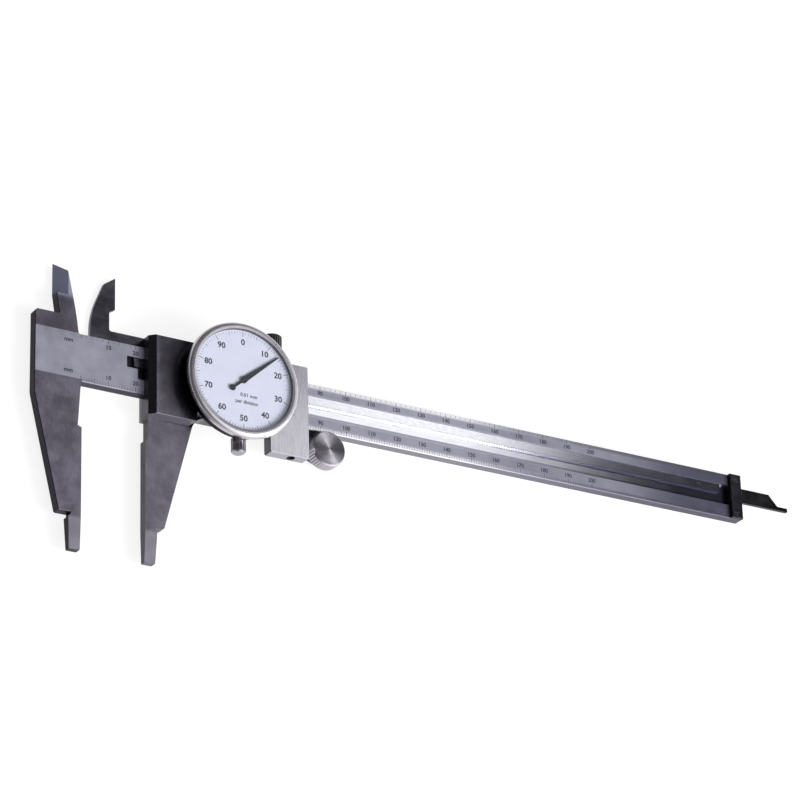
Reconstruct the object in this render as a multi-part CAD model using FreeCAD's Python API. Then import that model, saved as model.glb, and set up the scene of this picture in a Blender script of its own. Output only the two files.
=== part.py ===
import FreeCAD, Part
import math
import os

# A 200 mm dial caliper lying on its back, dial up, with its jaws partly open.
# X runs along the beam from the fixed jaw to the depth rod's tip, Y across the beam
# towards the inside jaws, Z out of the dial.
# The origin is under the dial's axis, on the beam's centreline, on the resting plane.

V = FreeCAD.Vector
UP = V(0, 0, 1)

# Reading and travel
opening = 23.14
travel = 200.0
lead_per_turn = 1.0
dial_from_face = 31.3
dial_y = -0.7
slide_gap = 0.05

# Beam
beam_width = 17.0
beam_thickness = 3.6
front_groove_depth = 1.5
back_groove_depth = 1.4
groove_top = 4.25
groove_bottom = -3.4
groove_split = 0.25
rack_bed_start = 16.3
pinion_bed_start = 20.3
edge_break = 0.2
corner_share = 0.95

# Fixed jaws, from the fixed measuring face and the beam's centreline
fixed_back = 17.1
fixed_top = 14.5
fixed_corner = 0.8
heel_y = -14.8
heel_round = 12.0
lower_tip_y = -67.3
shelf_y = -54.8
fixed_shelf_width = 8.0
moving_shelf_width = 6.9
nib_top_width = 4.4
nib_tip_width = 3.9
nib_tip_thickness = 2.4
undercut = 0.8
shelf_corner = 0.6
relief_y = -24.6
relief_run = 0.5
relief_depth = 1.3
moving_relief = 1.0
face_setback = 0.35

# Inside jaws
inside_tip_y = 33.4
inside_reach = 9.5
inside_knife_foot = 21.8
knife_land = 0.25
blade_bevel = 4.2
blade_tip_width = 4.2
blade_tip_slant = 3.0
blade_root_inset = 1.1
blade_bow_r = 110.0

# Slider
lead = 0.5
slider_length = 58.9
front_block = 4.95
lead_chamfer = 2.1
block_round = 1.5
foot_round = 0.8
slider_top = 11.8
slider_bottom = -12.5
root_bottom = -16.6
root_setback = 0.3
root_right = 16.6
heel_width = 18.4
slider_heel_round = 6.0
foot_length = 15.0
foot_bottom = -21.9
foot_thickness = 4.2
foot_hole_r = 1.5
foot_hole_depth = 6.0
foot_hole_inset = 6.1
gib_thickness = 1.0
gib_gap = 0.1
gib_inset = 1.7
gib_top_gap = 0.05

# Back plate, which carries the moving inside jaw and the roller's ear
back_thickness = 1.5
arm_top = 13.7
arm_bottom = 8.9
arm_right = 6.0
blade_root_left = 18.6
blade_root_right = 11.6
back_blade_bow_r = 30.0
back_blade_bow_y = 18.4
ear_r = 4.4
ear_root = 8.0
back_screw_inset = 4.2

# Depth rod
rod_width = 5.4
rod_thickness = 1.25
rod_y = 2.5
rod_start = 7.0
rod_clear = 0.1
rod_tip_length = 4.4
rod_tip_width = 1.4
rod_shoulder = 3.7
rod_screw_first = 6.0
rod_screw_pitch = 9.0

# Rack and pinion
rack_pitch = 1.0
rack_teeth = 236
rack_start = 19.0
rack_thickness = 1.2
rack_side_gap = 0.05
rack_pinion_teeth = 10
pinion_lift = 0.1
arbor_offset = 8.0
arbor_r = 0.9
bush_r = 2.2
rack_screw_inset = 9.0

# Gear train
gear_teeth = 100
centre_teeth = 10
gear_thickness = 0.5
gear_hub_r = 2.2
gear_split = 0.15
window_inner_r = 3.4
window_outer_r = 5.4
window_sweep = 90.0
windows = 3
spring_wire_r = 0.3
tooth_addendum = 0.75
tooth_dedendum = 1.1
pressure_angle = 20.0
rack_backlash = 0.07
gear_backlash = 0.05
pivot_r = 0.45
pivot_clear = 0.03
press_clear = 0.01
end_shake = 0.1

# Movement
movement_gap = 2.3
movement_thickness = 0.8
gear_lift = 0.3
bridge_lift = 0.25
bridge_thickness = 0.6
bridge_round = 2.3
pillar_r = 1.3
pillar_inset = 2.0
front_pillar_angle = 116.2
rear_pillar_inset = 6.1
case_screw_inset = 2.0
case_screw_angles = (35.0, -35.0, 160.0)

# Dial case and bezel
case_r = 19.2
case_wall = 1.3
case_floor = 0.8
case_shoulder = 3.55
neck_step = 0.6
neck_height = 0.55
bezel_overhang = 1.5
bezel_gap = 0.06
bezel_chamfer = 0.4
bezel_round = 1.6
ledge_width = 0.7
ledge_thickness = 0.3
lip_width = 0.4
lip_edge = 0.1
lip_height = 0.25
rim_width = 1.7
dial_thickness = 0.4
dial_hole_r = 1.1
dial_clear = 0.05
spacer_height = 0.75
spacer_wall = 0.45
crystal_thickness = 0.4

# Pointer
pointer_length = 17.0
pointer_tail = 6.6
pointer_tail_r = 1.1
pointer_root_width = 2.0
pointer_tail_width = 0.9
pointer_tip_width = 0.5
pointer_thickness = 0.18
pointer_lift = 0.3
pointer_hub_r = 1.2
pointer_hub_gap = 0.2
pointer_cap = 0.12

# Thumb roller
roller_r = 6.4
roller_thickness = 5.0
roller_front = 2.0
roller_reach = 9.5
roller_gap = 0.04
roller_groove_count = 40
roller_groove_depth = 0.35
roller_chamfer = 0.5
axle_r = 1.5
axle_foot_r = 1.1
axle_clear = 0.03
axle_collar_r = 2.3
roller_web = 1.0

# Knobs
lock_inset = 10.1
lock_head_r = 3.5
lock_head_height = 9.0
lock_neck_r = 2.2
lock_neck_height = 3.0
lock_stem_r = 1.2
clamp_height = 0.95
clamp_head_r = 2.5
clamp_head_gap = 0.15
clamp_head_past = 4.2
clamp_stem_r = 0.8
clamp_stem_past = 0.4
knob_groove_count = 24
knob_groove_depth = 0.3
knob_chamfer = 0.5
groove_share = 0.3

# Stop plate
stop_length = 4.8
stop_height = 1.5
stop_gap = 0.3
stop_screw_inset = 2.1

# Screws
thread_clear = 0.02
back_screw = {"head_r": 1.2, "shank_r": 0.6, "head": 0.6, "length": 3.6}
rod_screw = {"head_r": 1.4, "shank_r": 0.8, "head": 0.7, "length": 2.4}
rack_screw = {"head_r": 1.1, "shank_r": 0.6, "head": 0.5, "length": 1.6}
stop_screw = {"head_r": 1.5, "shank_r": 0.8, "head": 0.7, "length": 3.8}
case_screw = {"head_r": 1.4, "shank_r": 0.8, "head": 0.6, "length": 4.4}
bridge_screw = {"head_r": 1.0, "shank_r": 0.5, "head": 0.5, "length": 1.6}
slot_width = 0.4
slot_share = 0.45
gib_screw_r = 1.2
gib_screw_stations = (9.0, 30.0)

# Levels above the resting plane
plate_top = back_thickness
beam_back = plate_top + slide_gap
beam_front = beam_back + beam_thickness
block_back = beam_front + slide_gap
block_front = block_back + front_block
rail_middle = (plate_top + block_back) / 2
rack_z = beam_front - front_groove_depth
pinion_z = rack_z + pinion_lift
case_base = block_front + case_floor
case_shoulder_z = block_front + case_shoulder
neck_top = case_shoulder_z + neck_height
movement_top = case_base + movement_thickness
gear_z = movement_top + gear_lift
anti_gear_z = gear_z + gear_thickness + gear_split
gears_top = anti_gear_z + gear_thickness
bridge_z = gears_top + bridge_lift
bridge_top = bridge_z + bridge_thickness
bezel_base = case_shoulder_z + bezel_gap
ledge_z = neck_top + bezel_gap
dial_z = ledge_z + ledge_thickness
dial_top = dial_z + dial_thickness
crystal_z = dial_top + spacer_height
lip_z = crystal_z + crystal_thickness
bezel_top = lip_z + lip_height
clamp_z = block_front + clamp_height

# Radii about the dial's axis
case_bore_r = case_r - case_wall
movement_r = case_bore_r - movement_gap
case_screw_r = movement_r - case_screw_inset
front_pillar_x = (movement_r - pillar_inset) * math.cos(math.radians(front_pillar_angle))
front_pillar_y = (movement_r - pillar_inset) * math.sin(math.radians(front_pillar_angle))
rear_pillar_x = movement_r - rear_pillar_inset
neck_r = case_r - neck_step
bezel_bore_r = neck_r
bezel_r = case_r + bezel_overhang
ledge_r = bezel_bore_r - ledge_width
lip_r = bezel_bore_r - lip_width
rim_r = bezel_r - rim_width
insert_r = bezel_bore_r - dial_clear
clamp_stem_start = case_bore_r - clamp_stem_past
clamp_head_start = case_r + clamp_head_gap
clamp_reach = bezel_r + clamp_head_past

# Stations along and across the beam
beam_top = beam_width / 2
moving_face = -dial_from_face
fixed_face = moving_face - opening
slider_left = moving_face - lead
slider_right = moving_face + slider_length
stop_left = fixed_face + travel + slider_length + stop_gap
beam_end = stop_left + stop_length
gib_top = beam_top + slide_gap + gib_thickness
rail_bottom = gib_top + gib_gap
wall_top = -beam_top - slide_gap
arbor_x = -arbor_offset
foot_left = slider_right - foot_length
lock_x = slider_right - lock_inset
roller_x = slider_right + roller_reach
roller_y = -beam_top - roller_gap - roller_r

# Gear sizes
rack_module = rack_pitch / math.pi
rack_pinion_r = rack_module * rack_pinion_teeth / 2
rack_line = dial_y + rack_pinion_r
rack_root = rack_line + tooth_dedendum * rack_module
gear_module = 2 * arbor_offset / (gear_teeth + centre_teeth)
first_gap = arbor_x - rack_pitch * math.floor((arbor_x - fixed_face - rack_start) / rack_pitch)
rack_end = first_gap + rack_teeth * rack_pitch


# Basic solids
def box(x0, x1, y0, y1, z0, z1):
    return Part.makeBox(x1 - x0, y1 - y0, z1 - z0, V(x0, y0, z0))


def rod(r, x, y, z0, z1):
    return Part.makeCylinder(r, z1 - z0, V(x, y, z0), UP)


def cross_rod(r, x, z, y0, y1):
    return Part.makeCylinder(r, y1 - y0, V(x, y0, z), V(0, 1, 0))


def corner_arc(before, corner, after, radius):
    """Start, middle and end of the arc that rounds one corner of an outline."""
    u = (before - corner).normalize()
    v = (after - corner).normalize()
    half = u.getAngle(v) / 2
    room = min(corner.distanceToPoint(before), corner.distanceToPoint(after)) * corner_share
    along = min(radius / math.tan(half), room)
    fitted = along * math.tan(half)
    inward = (u + v).normalize()
    centre = corner + inward * (fitted / math.sin(half))
    return corner + u * along, centre - inward * fitted, corner + v * along


def outline(points, z):
    """Closed wire through (x, y) corners; a third value rounds that corner."""
    corners = [V(p[0], p[1], z) for p in points]
    count = len(points)
    arcs = []
    for i, point in enumerate(points):
        if len(point) == 3:
            arcs.append(corner_arc(corners[i - 1], corners[i], corners[(i + 1) % count], point[2]))
        else:
            arcs.append((corners[i], None, corners[i]))
    path = []
    for i, (start, middle, end) in enumerate(arcs):
        if middle:
            path.append(Part.Arc(start, middle, end).toShape())
        following = arcs[(i + 1) % count][0]
        if end.distanceToPoint(following) > 1e-6:
            path.append(Part.makeLine(end, following))
    return Part.Wire(path)


def plate(points, z0, z1):
    return Part.Face(outline(points, z0)).extrude(V(0, 0, z1 - z0))


def turned(points, x=0.0, y=0.0, start=0.0, sweep=360.0):
    """Solid turned about the vertical through (x, y) from (radius, z) corners."""
    face = Part.Face(outline(points, 0))
    face.rotate(V(0, 0, 0), V(1, 0, 0), 90)
    solid = face.revolve(V(0, 0, 0), UP, sweep)
    solid.rotate(V(0, 0, 0), UP, start)
    solid.translate(V(x, y, 0))
    return solid


def shifted(points, dx, mirror=False):
    """The same corners moved along X, and mirrored about the Y axis first if asked."""
    side = -1 if mirror else 1
    return [(side * p[0] + dx,) + tuple(p[1:]) for p in points]


def fuse(shapes):
    return shapes[0].multiFuse(shapes[1:]).removeSplitter()


def cut(shape, tools):
    return shape.cut(Part.makeCompound(tools))


def edges_at(shape, z, low_y=shelf_y):
    """Edges of a face at height z, apart from those that reach below low_y."""
    near = 1e-4
    return [e for e in shape.Edges
            if abs(e.BoundBox.ZMin - z) < near and abs(e.BoundBox.ZMax - z) < near
            and e.BoundBox.YMin > low_y - near]


def aimed(shape, side, x, y, z):
    """A shape built along Z, turned to lie along Y on the given side."""
    copy = shape.copy()
    copy.rotate(V(0, 0, 0), V(1, 0, 0), -90 * side)
    copy.translate(V(x, y, z))
    return copy


def tangent_point(start, centre, r, side):
    """Where a line from a point touches a circle, with the circle on its left or right."""
    reach = math.dist(start, centre)
    heading = math.atan2(centre[1] - start[1], centre[0] - start[0]) - side * math.asin(r / reach)
    run = math.sqrt(reach * reach - r * r)
    return start[0] + run * math.cos(heading), start[1] + run * math.sin(heading)


def knurled(r, depth, count, z0, z1, chamfer):
    """Grooved grip about the Z axis with both its edges chamfered."""
    corners = []
    for i in range(count):
        for share, reach in ((0, r - depth), (groove_share, r), (1 - groove_share, r)):
            angle = 2 * math.pi * (i + share) / count
            corners.append(V(reach * math.cos(angle), reach * math.sin(angle), z0))
    body = Part.Face(Part.makePolygon(corners + corners[:1])).extrude(V(0, 0, z1 - z0))
    outer = r + chamfer
    inner = r - chamfer
    run = 2 * chamfer
    ends = turned([(0, z0), (inner, z0), (outer, z0 + run), (outer, z1 - run), (inner, z1), (0, z1)])
    return body.common(ends)


# Slotted countersunk screws, and the seats that they fill
def flat_screw(size):
    """Screw with its head up and its top at z = 0."""
    cone = size["head_r"] - size["shank_r"]
    solid = turned([(0, 0), (size["head_r"], 0), (size["head_r"], cone - size["head"]),
                    (size["shank_r"], -size["head"]), (size["shank_r"], -size["length"]),
                    (0, -size["length"])])
    half = slot_width / 2
    slot = box(-size["head_r"], size["head_r"], -half, half, -size["head"] * slot_share, 1)
    return solid.cut(slot)


def flat_seat(size):
    wide = size["head_r"] + thread_clear
    bore = size["shank_r"] + thread_clear
    foot = -size["head"] - thread_clear
    depth = size["length"] + end_shake
    return turned([(0, 1), (wide, 1), (wide, wide - bore + foot), (bore, foot), (bore, -depth), (0, -depth)])


def placed(shape, places, z, down=False):
    """Copies of a shape built at z = 0, turned over if they point up from below."""
    copies = []
    for x, y in places:
        copy = shape.copy()
        if down:
            copy.rotate(V(0, 0, 0), V(1, 0, 0), 180)
        copy.translate(V(x, y, z))
        copies.append(copy)
    return copies


# Involute teeth
def involute(angle):
    return math.tan(angle) - angle


def tooth_half_angle(r, pitch_r, thickness):
    flank = math.radians(pressure_angle)
    here = math.acos(min(1.0, pitch_r * math.cos(flank) / r))
    return thickness / (2 * pitch_r) + involute(flank) - involute(here)


def gear(teeth, module, backlash, steps, turn, z0, z1):
    """External gear about the Z axis, with one tooth centred on the angle `turn`."""
    pitch_r = module * teeth / 2
    thickness = math.pi * module / 2 - backlash
    root = pitch_r - tooth_dedendum * module
    tip = pitch_r + tooth_addendum * module
    radii = [root + (tip - root) * i / steps for i in range(steps + 1)]
    flank = [(r, -tooth_half_angle(r, pitch_r, thickness)) for r in radii]
    profile = flank + [(r, -a) for r, a in reversed(flank)]
    corners = []
    for tooth in range(teeth):
        middle = math.radians(turn) + 2 * math.pi * tooth / teeth
        corners += [V(r * math.cos(middle + a), r * math.sin(middle + a), z0) for r, a in profile]
    return Part.Face(Part.makePolygon(corners + corners[:1])).extrude(V(0, 0, z1 - z0))


# Jaws, measured from the measuring face with the jaw's body on the -X side
def jaw_nose(shelf_width):
    return [
        (-shelf_width, shelf_y, shelf_corner),
        (-nib_top_width + undercut, shelf_y),
        (-nib_top_width + undercut, shelf_y - undercut),
        (-nib_top_width, shelf_y - 2 * undercut),
        (-nib_tip_width, lower_tip_y, edge_break),
        (0, lower_tip_y, edge_break),
        (0, relief_y),
    ]


def nib_wedges(x0, x1):
    """Slices off both flats of a lower jaw's nib, so that it thins towards its tip."""
    thin = (beam_thickness - nib_tip_thickness) / 2
    top = shelf_y - 2 * undercut
    drop = thin * (lower_tip_y - 1 - top) / (lower_tip_y - top)
    wedges = []
    for z, side in ((beam_front, -1), (beam_back, 1)):
        profile = [V(x0, top, z), V(x0, lower_tip_y - 1, z), V(x0, lower_tip_y - 1, z + side * drop)]
        wedges.append(Part.Face(Part.makePolygon(profile + profile[:1])).extrude(V(x1 - x0, 0, 0)))
    return wedges


def knife_bevel(knife_x, side, z_knife, z_flat):
    """Wedge that grinds an inside jaw to its knife edge, on one side of it."""
    up = 1 if z_flat > z_knife else -1
    start = z_knife + up * knife_land
    slope = blade_bevel / abs(z_flat - start)
    over = z_flat + up
    far = knife_x + side * slope * abs(over - start)
    near = knife_x - side
    corners = [V(near, inside_knife_foot, start - up / slope), V(far, inside_knife_foot, over),
               V(near, inside_knife_foot, over)]
    length = inside_tip_y - inside_knife_foot + 1
    return Part.Face(Part.makePolygon(corners + corners[:1])).extrude(V(0, length, 0))


# Beam with the fixed jaws
def beam_points():
    points = [(-fixed_back, fixed_top - fixed_corner), (-fixed_back, heel_y, heel_round)]
    points += jaw_nose(fixed_shelf_width)
    points += [
        (-relief_depth, relief_y + relief_run),
        (-face_setback, wall_top - 1.0),
        (-face_setback, -beam_top),
        (beam_end - fixed_face, -beam_top),
        (beam_end - fixed_face, beam_top),
        (-relief_depth, beam_top, 0.8),
        (-relief_depth - 0.7, fixed_top + 0.4, blade_bow_r),
        (-inside_reach + blade_tip_width, inside_tip_y - blade_tip_slant, 0.4),
        (-inside_reach, inside_tip_y),
        (-inside_reach, inside_knife_foot),
        (-inside_reach + blade_root_inset, fixed_top, 0.3),
        (-fixed_back + fixed_corner, fixed_top),
    ]
    return shifted(points, fixed_face)


def beam_solid():
    body = plate(beam_points(), beam_back, beam_front)
    body = body.makeChamfer(edge_break, edges_at(body, beam_front))
    bed_start = fixed_face + rod_start - rod_clear
    half = rod_width / 2 + rod_clear
    tools = [
        box(fixed_face + rack_bed_start, beam_end + 1, groove_split, groove_top, rack_z, beam_front + 1),
        box(fixed_face + pinion_bed_start, beam_end + 1, groove_bottom, groove_split + 1, rack_z, beam_front + 1),
        box(bed_start, beam_end + 1, rod_y - half, rod_y + half, beam_back - 1, beam_back + back_groove_depth),
        knife_bevel(fixed_face - inside_reach, 1, beam_back, beam_front),
    ]
    tools += nib_wedges(fixed_face - 2 * fixed_shelf_width, fixed_face + 1)
    tools += placed(flat_seat(rack_screw), rack_screw_places(), rack_z + rack_thickness)
    tools += placed(flat_seat(stop_screw), stop_screw_places(), beam_front + stop_height)
    return cut(body, tools)


# Rack, let into the upper half of the front groove
def rack_screw_places():
    y = (groove_top + rack_root) / 2
    return [(fixed_face + rack_start + rack_screw_inset, y), (rack_end - rack_screw_inset, y)]


def rack_solid():
    tip = rack_line - tooth_addendum * rack_module
    thickness = rack_pitch / 2 - rack_backlash
    lean = math.tan(math.radians(pressure_angle))
    tip_half = thickness / 2 - (rack_line - tip) * lean
    root_half = thickness / 2 + (rack_root - rack_line) * lean
    top = groove_top - rack_side_gap
    corners = [V(fixed_face + rack_start, top, rack_z), V(fixed_face + rack_start, rack_root, rack_z)]
    for tooth in range(rack_teeth):
        middle = first_gap + (tooth + 0.5) * rack_pitch
        for offset, y in ((-root_half, rack_root), (-tip_half, tip), (tip_half, tip), (root_half, rack_root)):
            corners.append(V(middle + offset, y, rack_z))
    corners += [V(rack_end, rack_root, rack_z), V(rack_end, top, rack_z)]
    solid = Part.Face(Part.makePolygon(corners + corners[:1])).extrude(V(0, 0, rack_thickness))
    return cut(solid, placed(flat_seat(rack_screw), rack_screw_places(), rack_z + rack_thickness))


# Stop plate at the beam's end
def stop_screw_places():
    x = stop_left + stop_length / 2
    y = beam_top - stop_screw_inset
    return [(x, -y), (x, y)]


def stop_solid():
    top = beam_front + stop_height
    body = box(stop_left, beam_end, -beam_top, beam_top, beam_front, top)
    body = body.makeChamfer(edge_break, edges_at(body, top))
    return cut(body, placed(flat_seat(stop_screw), stop_screw_places(), top))


# Slider: the front block, the walls round the beam and the moving lower jaw
def block_points():
    return [
        (slider_left, slider_top),
        (slider_left, root_bottom),
        (moving_face + root_right, root_bottom, 1.0),
        (moving_face + root_right, slider_bottom, block_round),
        (foot_left, slider_bottom, block_round),
        (foot_left, foot_bottom, foot_round),
        (slider_right, foot_bottom, foot_round),
        (slider_right, slider_top, 0.5),
    ]


def block_solid():
    body = plate(block_points(), block_back, block_front)
    body = body.makeChamfer(edge_break, edges_at(body, block_front))
    foot_back = block_front - foot_thickness
    under_foot = box(foot_left - block_round, slider_right + 1, foot_bottom - 1, slider_bottom,
                     block_back - 1, foot_back)
    before = slider_left - lead_chamfer
    above = block_front + lead_chamfer
    foot = root_bottom - lead_chamfer
    corners = [V(before, foot, above), V(before, foot, block_front - 2 * lead_chamfer),
               V(slider_left + 2 * lead_chamfer, foot, above)]
    wedge = Part.Face(Part.makePolygon(corners + corners[:1]))
    lead_wedge = wedge.extrude(V(0, slider_top - foot + lead_chamfer, 0))
    hole = cross_rod(foot_hole_r, slider_right - foot_hole_inset, (foot_back + block_front) / 2,
                     foot_bottom - 1, foot_bottom + foot_hole_depth)
    return cut(body, [under_foot, lead_wedge, hole])


def moving_jaw_points():
    """The moving lower jaw and the wall under the beam, in one outline."""
    points = [(-heel_width, slider_bottom, slider_heel_round)] + jaw_nose(moving_shelf_width)
    points += [
        (-moving_relief, relief_y + relief_run),
        (-moving_relief, root_bottom - relief_run),
        (-root_setback, root_bottom),
        (-root_setback, wall_top),
    ]
    return shifted(points, moving_face, mirror=True) + [(slider_right, wall_top), (slider_right, slider_bottom)]


def back_screw_places():
    low = (slider_bottom + wall_top) / 2
    high = (rail_bottom + slider_top) / 2
    left = slider_left + back_screw_inset
    right = slider_right - back_screw_inset
    return [(left, low), (right, low), (left, high), (right, high)]


def rod_screw_places():
    first = moving_face + rod_start + rod_screw_first
    return [(first, rod_y), (first + rod_screw_pitch, rod_y)]


def case_screw_places():
    places = []
    for angle in case_screw_angles:
        turn = math.radians(angle)
        places.append((case_screw_r * math.cos(turn), dial_y + case_screw_r * math.sin(turn)))
    return places


def slider_solid():
    jaw = plate(moving_jaw_points(), beam_back, beam_front)
    jaw = cut(jaw, nib_wedges(moving_face - 1, moving_face + 2 * moving_shelf_width))
    wall_left = moving_face + root_setback
    root = box(wall_left, moving_face + root_right, root_bottom, wall_top, plate_top, block_back)
    wall = box(wall_left, slider_right, slider_bottom, wall_top, plate_top, block_back)
    rail = box(slider_left, slider_right, rail_bottom, slider_top, plate_top, block_back)
    body = fuse([block_solid(), root, wall, rail, jaw])
    tools = [rod(bush_r + press_clear, arbor_x, dial_y, block_back - 1, block_front + 1)]
    tools.append(cross_rod(lock_stem_r + thread_clear, lock_x, rail_middle,
                           gib_top, slider_top + 1))
    for station in gib_screw_stations:
        tools.append(cross_rod(gib_screw_r + thread_clear, moving_face + station, rail_middle,
                               gib_top, slider_top + 1))
    tools += placed(flat_seat(back_screw), back_screw_places(), 0, down=True)
    tools += placed(flat_seat(case_screw), case_screw_places(), movement_top)
    return cut(body, tools)


# Back plate with the moving inside jaw
def back_plate_points():
    points = [
        (root_setback, root_bottom),
        (root_right, root_bottom, 1.0),
        (root_right, slider_bottom, 1.5),
        (slider_length, slider_bottom),
        (slider_length, slider_top, 0.5),
        (arm_right + arm_top - slider_top, slider_top),
        (arm_right, arm_top),
        (-blade_root_right, arm_top, 0.8),
        (-blade_root_right, inside_knife_foot - 1.2),
        (-inside_reach, inside_knife_foot),
        (-inside_reach, inside_tip_y),
        (-inside_reach - blade_tip_width, inside_tip_y - blade_tip_slant, 0.4),
        (-blade_root_left, back_blade_bow_y, back_blade_bow_r),
        (-blade_root_left, arm_bottom, 0.5),
        (root_setback, arm_bottom, 0.5),
    ]
    return shifted(points, moving_face)


def ear_solid():
    """The tongue of the back plate that reaches out to the roller's axle."""
    low = (slider_right - ear_root, slider_bottom)
    high = (slider_right, slider_bottom + ear_root)
    centre = (roller_x, roller_y)
    points = [low, tangent_point(low, centre, ear_r, 1), centre, tangent_point(high, centre, ear_r, -1), high,
              (slider_right - ear_root, slider_bottom + ear_root)]
    return fuse([plate(points, 0, plate_top), rod(ear_r, roller_x, roller_y, 0, plate_top)])


def back_plate_solid():
    body = fuse([plate(back_plate_points(), 0, plate_top), ear_solid()])
    tools = [rod(axle_foot_r + thread_clear, roller_x, roller_y, -1, plate_top + 1),
             knife_bevel(moving_face - inside_reach, -1, plate_top, 0)]
    tools += placed(flat_seat(back_screw), back_screw_places(), 0, down=True)
    tools += placed(flat_seat(rod_screw), rod_screw_places(), 0, down=True)
    return cut(body, tools)


# Gib strip, its two set screws and the lock screw
def gib_solid():
    return box(slider_left + gib_inset, slider_right - gib_inset, beam_top + slide_gap, gib_top,
               plate_top, block_back - gib_top_gap)


def gib_screw_solids():
    length = slider_top - gib_top
    body = rod(gib_screw_r, 0, 0, 0, length)
    half = slot_width / 2
    body = body.cut(box(-gib_screw_r, gib_screw_r, -half, half, length - slot_width, length + 1))
    return [aimed(body, 1, moving_face + x, gib_top, rail_middle) for x in gib_screw_stations]


def lock_screw_solid():
    stem = slider_top - gib_top - slide_gap
    head_top = lock_neck_height + lock_head_height
    body = turned([(0, -stem), (lock_stem_r, -stem), (lock_stem_r, slide_gap), (lock_neck_r, slide_gap),
                   (lock_neck_r, lock_neck_height), (0, lock_neck_height)])
    head = knurled(lock_head_r, knob_groove_depth, knob_groove_count, lock_neck_height, head_top, knob_chamfer)
    return aimed(fuse([body, head]), 1, lock_x, slider_top, rail_middle)


# Depth rod
def depth_rod_solid():
    left = moving_face + rod_start
    right = beam_end + opening
    low = rod_y - rod_width / 2
    high = rod_y + rod_width / 2
    points = [
        (left, low),
        (right, low),
        (right, low + rod_tip_width),
        (right - rod_tip_length, low + rod_tip_width, 0.4),
        (right - rod_tip_length - rod_shoulder, high, 0.4),
        (left, high),
    ]
    body = plate(points, plate_top, plate_top + rod_thickness)
    return cut(body, placed(flat_seat(rod_screw), rod_screw_places(), 0, down=True))


# Thumb roller and its axle
def roller_z():
    return beam_front + roller_front - roller_thickness


def roller_solid():
    low = roller_z()
    high = low + roller_thickness
    body = knurled(roller_r, roller_groove_depth, roller_groove_count, low, high, roller_chamfer)
    body.translate(V(roller_x, roller_y, 0))
    return body.cut(rod(axle_r + axle_clear, roller_x, roller_y, low - 1, high - roller_web))


def roller_axle_solid():
    collar_top = roller_z() - end_shake
    tip = roller_z() + roller_thickness - roller_web - end_shake
    body = turned([(0, 0), (axle_foot_r, 0), (axle_foot_r, plate_top), (axle_collar_r, plate_top),
                   (axle_collar_r, collar_top), (axle_r, collar_top), (axle_r, tip), (0, tip)],
                  roller_x, roller_y)
    half = slot_width / 2
    return body.cut(box(roller_x - axle_foot_r, roller_x + axle_foot_r, roller_y - half, roller_y + half,
                        -1, slot_width))


# Dial case, with the screw that clamps the bezel
def case_solid():
    bore = case_bore_r
    body = turned([(0, block_front), (case_r, block_front), (case_r, case_shoulder_z), (neck_r, case_shoulder_z),
                   (neck_r, neck_top), (bore, neck_top), (bore, case_base), (0, case_base)], 0, dial_y)
    tools = [rod(bush_r + press_clear, arbor_x, dial_y, block_front - 1, case_base + 1),
             cross_rod(clamp_stem_r + thread_clear, 0, clamp_z, dial_y - case_r - 1,
                       dial_y - clamp_stem_start + end_shake)]
    tools += placed(flat_seat(case_screw), case_screw_places(), movement_top)
    return cut(body, tools)


def clamp_screw_solid():
    stem = turned([(0, clamp_stem_start), (clamp_stem_r, clamp_stem_start), (clamp_stem_r, clamp_head_start),
                   (0, clamp_head_start)])
    head = knurled(clamp_head_r, knob_groove_depth, knob_groove_count, clamp_head_start, clamp_reach,
                   knob_chamfer)
    return aimed(fuse([stem, head]), -1, 0, dial_y, clamp_z)


# Movement: plate, bridge, pillars and the arbor's bush
def pillar_places():
    return [(front_pillar_x, dial_y + front_pillar_y), (front_pillar_x, dial_y - front_pillar_y),
            (rear_pillar_x, dial_y)]


def movement_plate_solid():
    body = rod(movement_r, 0, dial_y, case_base, movement_top)
    tools = [rod(arbor_r + pivot_clear, arbor_x, dial_y, case_base - 1, movement_top + 1),
             rod(pivot_r + pivot_clear, 0, dial_y, case_base - 1, movement_top + 1)]
    tools += placed(flat_seat(case_screw), case_screw_places(), movement_top)
    return cut(body, tools)


def bridge_solid():
    near = front_pillar_x - bridge_round
    far = front_pillar_x + bridge_round
    wide = front_pillar_y + bridge_round
    left = arbor_x - 2 * bridge_round
    right = rear_pillar_x + bridge_round
    points = [
        (left, dial_y - bridge_round, bridge_round / 2),
        (near, dial_y - wide, bridge_round / 2),
        (far, dial_y - wide, bridge_round / 2),
        (right, dial_y - bridge_round, bridge_round / 2),
        (right, dial_y + bridge_round, bridge_round / 2),
        (far, dial_y + wide, bridge_round / 2),
        (near, dial_y + wide, bridge_round / 2),
        (left, dial_y + bridge_round, bridge_round / 2),
    ]
    body = plate(points, bridge_z, bridge_top)
    tools = [rod(pivot_r + pivot_clear, x, dial_y, bridge_z - 1, bridge_top + 1) for x in (arbor_x, 0)]
    tools += placed(flat_seat(bridge_screw), pillar_places(), bridge_top)
    return cut(body, tools)


def pillar_solids():
    seats = placed(flat_seat(bridge_screw), pillar_places(), bridge_top)
    pillars = [rod(pillar_r, x, y, movement_top, bridge_z) for x, y in pillar_places()]
    return [pillar.cut(seat) for pillar, seat in zip(pillars, seats)]


def bush_solid():
    body = rod(bush_r, arbor_x, dial_y, block_back, case_base)
    return body.cut(rod(arbor_r + pivot_clear, arbor_x, dial_y, block_back - 1, case_base + 1))


# Gear train from the rack to the pointer
def rack_pinion_solid():
    top = pinion_z + rack_thickness
    pinion = gear(rack_pinion_teeth, rack_module, rack_backlash, 4, 90, pinion_z, top)
    shaft = turned([(0, top), (arbor_r, top), (arbor_r, bridge_z - end_shake), (pivot_r, bridge_z - end_shake),
                    (pivot_r, bridge_top), (0, bridge_top)])
    body = fuse([pinion, shaft])
    body.translate(V(arbor_x, dial_y, 0))
    return body


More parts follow.
